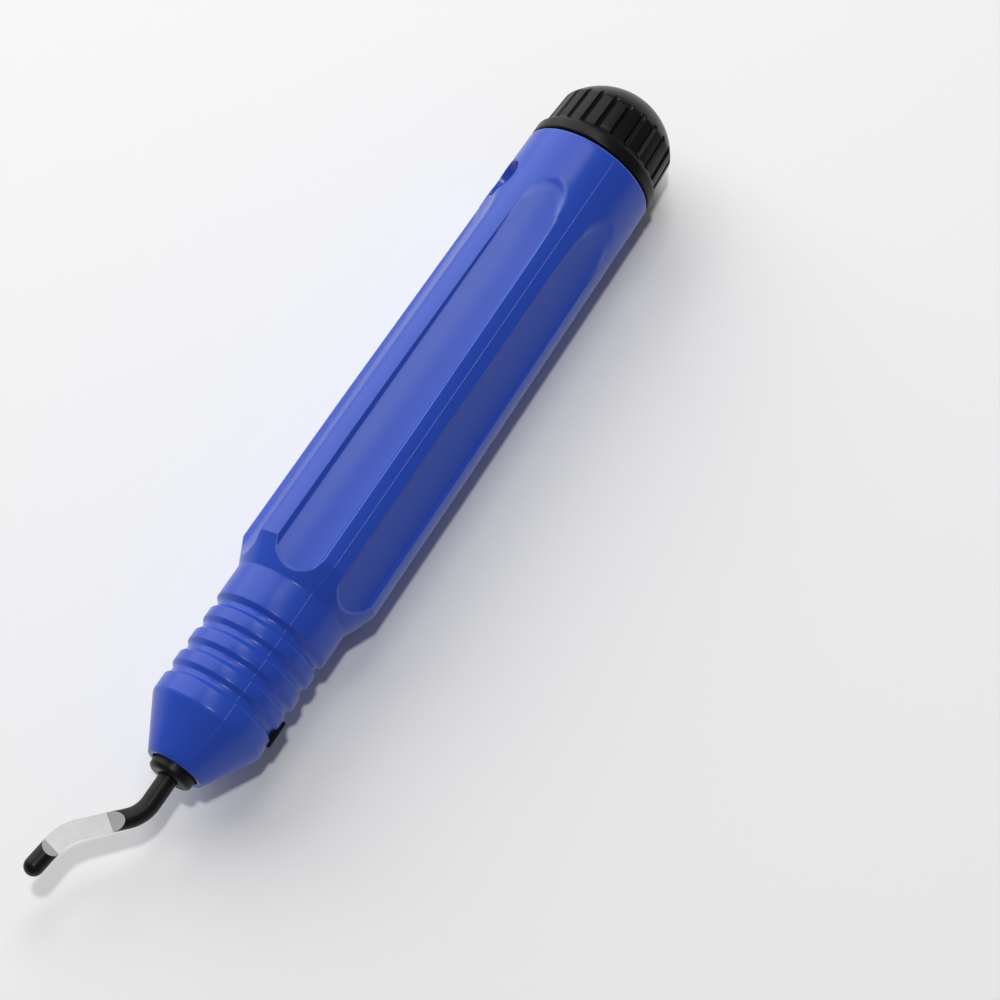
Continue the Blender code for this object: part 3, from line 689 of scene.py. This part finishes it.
def make_bearings(oxide, bronze, steel, plastic, rubber):
    """The turned pieces on the tool's axis, from the collar at the nose to the cap's seal."""
    bore = SHANK_R + 0.15
    collar = [
        (bore, -1.75, 0.2),
        (COLLAR_R, -1.75, 1.1),
        (COLLAR_R, COLLAR_END, 0.1),
        (SLEEVE_R, COLLAR_END, 0),
        (SLEEVE_R, SLEEVE_END, 0.2),
        (bore, SLEEVE_END, 0.2),
    ]
    make_turned("nose_collar", collar, 96, "handle", "black_oxide", oxide, "nose_bush")
    bush = [(bore, BUSH_FRONT, 0.3), (BUSH_R, BUSH_FRONT, 0.2)]
    bush += [(BUSH_R, BUSH_END, 0.2), (bore, BUSH_END, 0.3)]
    make_turned("rear_bearing", bush, 48, "handle", "bearing_bronze", bronze, "rear_bush")
    centre = SHANK_DEPTH + GAP + BALL_R
    ball = [(r, s, 0) for r, s in arc((0, centre), BALL_R, -pi / 2, pi / 2, 20)]
    ball[0], ball[-1] = (0, centre - BALL_R, 0), (0, centre + BALL_R, 0)
    make_turned("bearing_ball", ball, 40, "handle", "bright_steel", steel, "thrust_ball")
    seat = [(r, s, 0) for r, s in arc((0, centre), BALL_R + GAP, pi / 2, 0, 12)]
    seat[0] = (0, centre + BALL_R + GAP, 0)
    cup = seat + [(CUP_R, centre, 0.3), (CUP_R, CUP_END, 0.3), (0, CUP_END, 0)]
    make_turned("ball_cup", cup, 64, "handle", "bright_steel", steel, "thrust_cup")
    front = CUP_END + GAP
    plug = [(0, front, 0), (BULKHEAD_R, front, 0.3), (BULKHEAD_R, BULKHEAD_END, 0.3)]
    plug += [(4.8, BULKHEAD_END, 0.2), (4.8, BULKHEAD_END - 2, 0.3), (1.2, BULKHEAD_END - 2, 0.2)]
    plug += [(1.2, BULKHEAD_END - 1, 0.2), (0, BULKHEAD_END - 1, 0)]
    make_turned("store_bulkhead", plug, 64, "handle", "inner_plastic", plastic, "bulkhead")
    ring = [(r, s, 0) for r, s in arc((CAP_NECK_R + 1.0, 121.5), 0.6, 0, 2 * pi, 20)[:-1]]
    make_turned("o_ring", ring, 96, "seal", "seal_rubber", rubber, "cap_seal", sharp=60)


# Latch


def make_button(material):
    """The release button: a rounded block whose outer face falls away at both ends."""
    button = box_cutter((4.6, -3.6, -2.4), (9.7, 3.6, 2.4), 0.35)
    button.name = "release_key"
    for edge in button.data.edges:
        a, b = (button.data.vertices[i].co for i in edge.vertices)
        edge.select = min(a.x, b.x) > 9.6 and abs(a.z - b.z) < 0.01 and abs(a.y - b.y) > 4
    for flag in (button.data.vertices, button.data.polygons):
        for item in flag:
            item.select = False
    bpy.ops.object.mode_set(mode="EDIT")
    bpy.ops.mesh.bevel(offset=0.75, segments=1, affect="EDGES")
    bpy.ops.object.mode_set(mode="OBJECT")
    apply_modifier(button, "BEVEL", width=0.22, segments=3, limit_method="ANGLE", angle_limit=radians(28))
    return finished(button, BUTTON, "latch", "black_plastic", material, "release_button", sharp=40)


def make_spring(material):
    """The latch spring: a long rod, wound into four coils with closed ends."""
    wire, coil, coils = 0.25, 1.45, 4
    low, high = SPRING_SEAT + wire, PLATE_FOOT - GAP - wire
    rod = [(0, 0)] + [(wire, k / 144) for k in range(145)] + [(0, 1)]
    spring = turned("coil_spring", rod, 12)
    _, rows, turn = points_of(spring)
    share = np.array([s for _, s in rod])[rows]
    radius = np.array([r for r, _ in rod])[rows]
    winding = share * coils * 2 * pi
    out = coil + radius * np.cos(turn * 2 * pi)
    along = low + (high - low) * share + radius * np.sin(turn * 2 * pi)
    move_points(spring, np.stack([along, out * np.cos(winding), out * np.sin(winding)], 1))
    in_edit_mode(spring, (bpy.ops.mesh.normals_make_consistent, {"inside": False}))
    finished(spring, BUTTON, "handle", "bright_steel", material, "latch_spring", sharp=60)
    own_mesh(spring)
    return spring


# Materials


def new_material(name):
    material = bpy.data.materials.new(name)
    material.use_nodes = True
    nodes = material.node_tree.nodes
    return material, nodes, material.node_tree.links, nodes["Principled BSDF"]


def add_group(nodes, tree, **values):
    node = nodes.new("ShaderNodeGroup")
    node.node_tree = tree
    for key, value in values.items():
        node.inputs[key.replace("_", " ")].default_value = value
    return node


def grain_group():
    """Fine moulded or blasted grain: a height and a slow drift, from object coordinates in metres."""
    tree = bpy.data.node_groups.new("surface_grain", "ShaderNodeTree")
    for name, default in (("Grain Size", 0.0002), ("Drift Size", 0.02), ("Sharpness", 0.5)):
        socket = tree.interface.new_socket(name, in_out="INPUT", socket_type="NodeSocketFloat")
        socket.default_value = default
    for name in ("Height", "Drift"):
        tree.interface.new_socket(name, in_out="OUTPUT", socket_type="NodeSocketFloat")
    nodes, links = tree.nodes, tree.links
    start, end = nodes.new("NodeGroupInput"), nodes.new("NodeGroupOutput")
    place = nodes.new("ShaderNodeTexCoord")
    for size, result, detail in (("Grain Size", "Height", 3), ("Drift Size", "Drift", 2)):
        scale = nodes.new("ShaderNodeMath")
        scale.operation = "DIVIDE"
        scale.inputs[0].default_value = 1
        links.new(start.outputs[size], scale.inputs[1])
        noise = nodes.new("ShaderNodeTexNoise")
        noise.inputs["Detail"].default_value = detail
        links.new(place.outputs["Object"], noise.inputs["Vector"])
        links.new(scale.outputs[0], noise.inputs["Scale"])
        if result == "Height":
            links.new(start.outputs["Sharpness"], noise.inputs["Roughness"])
        links.new(noise.outputs["Fac"], end.inputs[result])
    return tree


def scuff_group():
    """Sparse fine scratches, as a mask, from stretched noise."""
    tree = bpy.data.node_groups.new("fine_scuffs", "ShaderNodeTree")
    for name, default in (("Length", 0.01), ("Width", 0.0001), ("Cover", 0.3)):
        socket = tree.interface.new_socket(name, in_out="INPUT", socket_type="NodeSocketFloat")
        socket.default_value = default
    tree.interface.new_socket("Mask", in_out="OUTPUT", socket_type="NodeSocketFloat")
    nodes, links = tree.nodes, tree.links
    start, end = nodes.new("NodeGroupInput"), nodes.new("NodeGroupOutput")
    place = nodes.new("ShaderNodeTexCoord")
    scales = []
    for name in ("Length", "Width"):
        scale = nodes.new("ShaderNodeMath")
        scale.operation = "DIVIDE"
        scale.inputs[0].default_value = 1
        links.new(start.outputs[name], scale.inputs[1])
        scales.append(scale)
    stretch = nodes.new("ShaderNodeCombineXYZ")
    links.new(scales[0].outputs[0], stretch.inputs["X"])
    links.new(scales[1].outputs[0], stretch.inputs["Y"])
    links.new(scales[1].outputs[0], stretch.inputs["Z"])
    mapping = nodes.new("ShaderNodeVectorMath")
    mapping.operation = "MULTIPLY"
    links.new(place.outputs["Object"], mapping.inputs[0])
    links.new(stretch.outputs[0], mapping.inputs[1])
    noise = nodes.new("ShaderNodeTexNoise")
    noise.inputs["Scale"].default_value = 1
    noise.inputs["Detail"].default_value = 2
    noise.inputs["Distortion"].default_value = 0.4
    links.new(mapping.outputs[0], noise.inputs["Vector"])
    pick = nodes.new("ShaderNodeMapRange")
    pick.inputs["From Min"].default_value = 0.62
    pick.inputs["From Max"].default_value = 0.8
    links.new(noise.outputs["Fac"], pick.inputs["Value"])
    strength = nodes.new("ShaderNodeMath")
    strength.operation = "MULTIPLY"
    links.new(pick.outputs[0], strength.inputs[0])
    links.new(start.outputs["Cover"], strength.inputs[1])
    links.new(strength.outputs[0], end.inputs["Mask"])
    return tree


def ranged(nodes, links, value, low, high):
    node = nodes.new("ShaderNodeMapRange")
    node.inputs["To Min"].default_value = low
    node.inputs["To Max"].default_value = high
    links.new(value, node.inputs["Value"])
    return node.outputs["Result"]


def blend_colours(nodes, links, share, first, second):
    """Two colours mixed by a share, where each may be a colour or an output."""
    node = nodes.new("ShaderNodeMix")
    node.data_type = "RGBA"
    links.new(share, node.inputs["Factor"])
    for socket, colour in ((node.inputs[6], first), (node.inputs[7], second)):
        if isinstance(colour, tuple):
            socket.default_value = (*colour, 1)
        else:
            links.new(colour, socket)
    return node.outputs[2]


def bumped(nodes, links, shader, height, distance, strength=1.0):
    bump = nodes.new("ShaderNodeBump")
    bump.inputs["Distance"].default_value = distance
    bump.inputs["Strength"].default_value = strength
    links.new(height, bump.inputs["Height"])
    links.new(bump.outputs["Normal"], shader.inputs["Normal"])


def grained_material(name, groups, light, dark, roughness, grain, bump, drift=0.02, scuffs=0.15, **fixed):
    """A material whose colour drifts between two, with grain in its relief and fine scuffs in its gloss."""
    material, nodes, links, shader = new_material(name)
    texture = add_group(nodes, groups["grain"], Grain_Size=grain, Drift_Size=drift)
    marks = add_group(nodes, groups["scuffs"], Cover=scuffs)
    colour = blend_colours(nodes, links, texture.outputs["Drift"], dark, light)
    pale = tuple(min(1, c * 1.5 + 0.02) for c in light)
    colour = blend_colours(nodes, links, marks.outputs["Mask"], colour, pale)
    links.new(colour, shader.inputs["Base Color"])
    low, high = roughness
    gloss = ranged(nodes, links, texture.outputs["Drift"], low, high)
    rougher = nodes.new("ShaderNodeMath")
    rougher.operation = "MULTIPLY_ADD"
    links.new(marks.outputs["Mask"], rougher.inputs[0])
    rougher.inputs[1].default_value = 0.3
    links.new(gloss, rougher.inputs[2])
    links.new(rougher.outputs[0], shader.inputs["Roughness"])
    bumped(nodes, links, shader, texture.outputs["Height"], bump)
    for key, value in fixed.items():
        shader.inputs[key.replace("_", " ")].default_value = value
    return material


def paint_edge_highlight(material, colour):
    """Blends a lighter colour in along the mesh's marked edges, as a painted highlight where the rounded
    edges would catch the light.
    """
    nodes, links = material.node_tree.nodes, material.node_tree.links
    shader = nodes["Principled BSDF"]
    base = shader.inputs["Base Color"].links[0].from_socket
    mask = nodes.new("ShaderNodeAttribute")
    mask.attribute_name = "edge"
    # Painted highlight along the marked edges.
    share = ranged(nodes, links, mask.outputs["Fac"], 0, 0.55)
    links.new(blend_colours(nodes, links, share, base, colour), shader.inputs["Base Color"])


def ground_material(groups):
    """Bright ground steel, with close grinding lines straight across the blade."""
    material, nodes, links, shader = new_material("ground_steel")
    place = nodes.new("ShaderNodeTexCoord")
    mapping = nodes.new("ShaderNodeMapping")
    mapping.inputs["Rotation"].default_value = (0, 0, radians(-14))
    mapping.inputs["Scale"].default_value = (14000, 500, 500)
    links.new(place.outputs["Object"], mapping.inputs["Vector"])
    lines = nodes.new("ShaderNodeTexNoise")
    lines.inputs["Scale"].default_value = 1
    lines.inputs["Detail"].default_value = 3
    links.new(mapping.outputs[0], lines.inputs["Vector"])
    texture = add_group(nodes, groups["grain"], Grain_Size=0.0006, Drift_Size=0.004)
    colour = blend_colours(nodes, links, lines.outputs["Fac"], (0.50, 0.50, 0.51), (0.70, 0.70, 0.70))
    links.new(colour, shader.inputs["Base Color"])
    links.new(ranged(nodes, links, texture.outputs["Drift"], 0.42, 0.56), shader.inputs["Roughness"])
    bumped(nodes, links, shader, lines.outputs["Fac"], 0.000012, 0.5)
    shader.inputs["Metallic"].default_value = 0.35
    return material


def make_materials():
    groups = {"grain": grain_group(), "scuffs": scuff_group()}
    blue = grained_material(
        "blue_moulding", groups, (0.026, 0.080, 0.52), (0.020, 0.066, 0.45), (0.22, 0.30),
        0.00035, 0.000012, drift=0.03, scuffs=0.05, Specular_IOR_Level=0.3,
    )
    # Painted highlight: a paler blue along the flutes' edges and the rear rim.
    paint_edge_highlight(blue, (0.16, 0.25, 0.66))
    black = grained_material(
        "black_moulding", groups, (0.008, 0.008, 0.0085), (0.005, 0.005, 0.0055), (0.26, 0.36),
        0.0003, 0.00002, drift=0.01, scuffs=0.1, Specular_IOR_Level=0.16,
    )
    oxide = grained_material(
        "black_oxide_steel", groups, (0.010, 0.010, 0.0105), (0.006, 0.006, 0.0065), (0.3, 0.42),
        0.00025, 0.00001, drift=0.003, scuffs=0.1, Metallic=0.1, Specular_IOR_Level=0.2,
    )
    bronze = grained_material(
        "sintered_bronze", groups, (0.5, 0.31, 0.14), (0.38, 0.22, 0.09), (0.4, 0.55),
        0.0002, 0.00004, drift=0.002, Metallic=1.0,
    )
    steel = grained_material(
        "bright_steel", groups, (0.66, 0.66, 0.67), (0.54, 0.54, 0.56), (0.18, 0.3),
        0.0002, 0.000004, drift=0.004, Metallic=1.0,
    )
    rubber = grained_material(
        "seal_rubber", groups, (0.016, 0.016, 0.016), (0.01, 0.01, 0.01), (0.6, 0.75),
        0.0002, 0.00003, drift=0.003,
    )
    plastic = grained_material(
        "grey_inner_plastic", groups, (0.6, 0.61, 0.63), (0.5, 0.51, 0.53), (0.45, 0.55),
        0.0003, 0.00002,
    )
    return blue, black, oxide, ground_material(groups), bronze, steel, rubber, plastic


# Stage


def make_stage():
    deselect()
    bpy.ops.mesh.primitive_plane_add(size=6, location=(0, 0, 0))
    floor = bpy.context.object
    floor.name = "pale_floor"
    material, _, _, shader = new_material("pale_floor")
    shader.inputs["Base Color"].default_value = (0.95, 0.95, 0.95, 1)
    shader.inputs["Roughness"].default_value = 0.9
    floor.data.materials.append(material)


def add_softbox(name, direction, distance, size, power):
    """A square area light that looks at the tool from a direction."""
    light = bpy.data.lights.new(name, "AREA")
    light.size = size
    light.energy = power
    lamp = bpy.data.objects.new(name, light)
    bpy.context.scene.collection.objects.link(lamp)
    way = Vector(direction).normalized()
    lamp.location = way * distance
    lamp.rotation_euler = way.to_track_quat("Z", "Y").to_euler()


def make_lights():
    world = bpy.data.worlds.new("soft_room")
    bpy.context.scene.world = world
    world.use_nodes = True
    background = world.node_tree.nodes["Background"]
    background.inputs["Color"].default_value = (1, 1, 1, 1)
    background.inputs["Strength"].default_value = 0.14
    add_softbox("left_softbox", (-0.5, -1.0, 0.7), 1.0, 1.2, 9.6)
    add_softbox("rear_softbox", (-0.42, -0.12, 1.0), 0.9, 0.3, 1.4)
    add_softbox("top_softbox", (0.08, 0.12, 1.0), 1.0, 0.06, 2.7)
    bpy.context.scene.view_settings.view_transform = "Standard"


def make_camera():
    data = bpy.data.cameras.new("camera")
    data.lens = 99.46
    data.sensor_width = 36
    data.clip_start = 0.01
    camera = bpy.data.objects.new("camera", data)
    camera.location = (0.14135, 0.12947, 0.40998)
    camera.rotation_euler = (radians(24.857), radians(2.266), radians(121.716))
    bpy.context.scene.collection.objects.link(camera)
    bpy.context.scene.camera = camera


def main():
    make_camera()
    make_lights()
    make_stage()
    blue, black, oxide, ground, bronze, steel, rubber, plastic = make_materials()
    make_handle(blue)
    make_cap(black)
    make_bearings(oxide, bronze, steel, plastic, rubber)
    make_blade((oxide, ground))
    make_spares((oxide, ground))
    make_button(black)
    make_spring(steel)
    plate = frame["nodes"]["latch_plate"]
    for slot in plate.material_slots:
        slot.material = steel


main()
